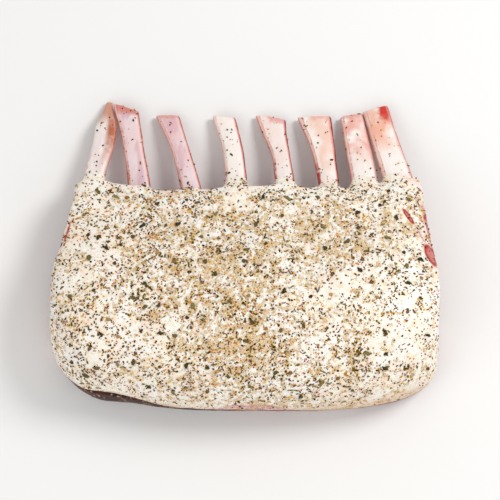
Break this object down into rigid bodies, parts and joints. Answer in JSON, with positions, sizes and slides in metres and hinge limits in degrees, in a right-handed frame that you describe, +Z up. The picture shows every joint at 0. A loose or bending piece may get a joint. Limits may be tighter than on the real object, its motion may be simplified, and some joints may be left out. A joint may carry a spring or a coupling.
{
  "type": "rack of lamb",
  "caption": "Raw rack of lamb, fat side up: a seasoned cap of white fat over the loin meat, with the rib ends frenched bare along one side.",
  "frame": {"origin": "the middle of the rack's footprint, on the surface that it lies on", "axes": "+X along the back of the animal, towards the end with the closely set ribs; +Y from the loin edge to the bared rib ends; +Z up, out of the fat"},
  "size_m": [0.2082, 0.1737, 0.0585],
  "materials": {
    "fat": "moist white fat, dusted with dried seasoning",
    "meat": "moist raw lamb, dark red, with seams of fat and membrane",
    "bone": "scraped raw bone, pale pink, redder where it was sawn",
    "seasoning": "dry, flaked herbs, cracked pepper and garlic granules"
  },
  "bodies": {
    "root": {"fat_cap": "fat", "meat": "meat", "rib_1": "bone", "rib_2": "bone", "rib_3": "bone", "rib_4": "bone", "rib_5": "bone", "rib_6": "bone", "rib_7": "bone", "rib_8": "bone"}
  },
  "joints": []
}
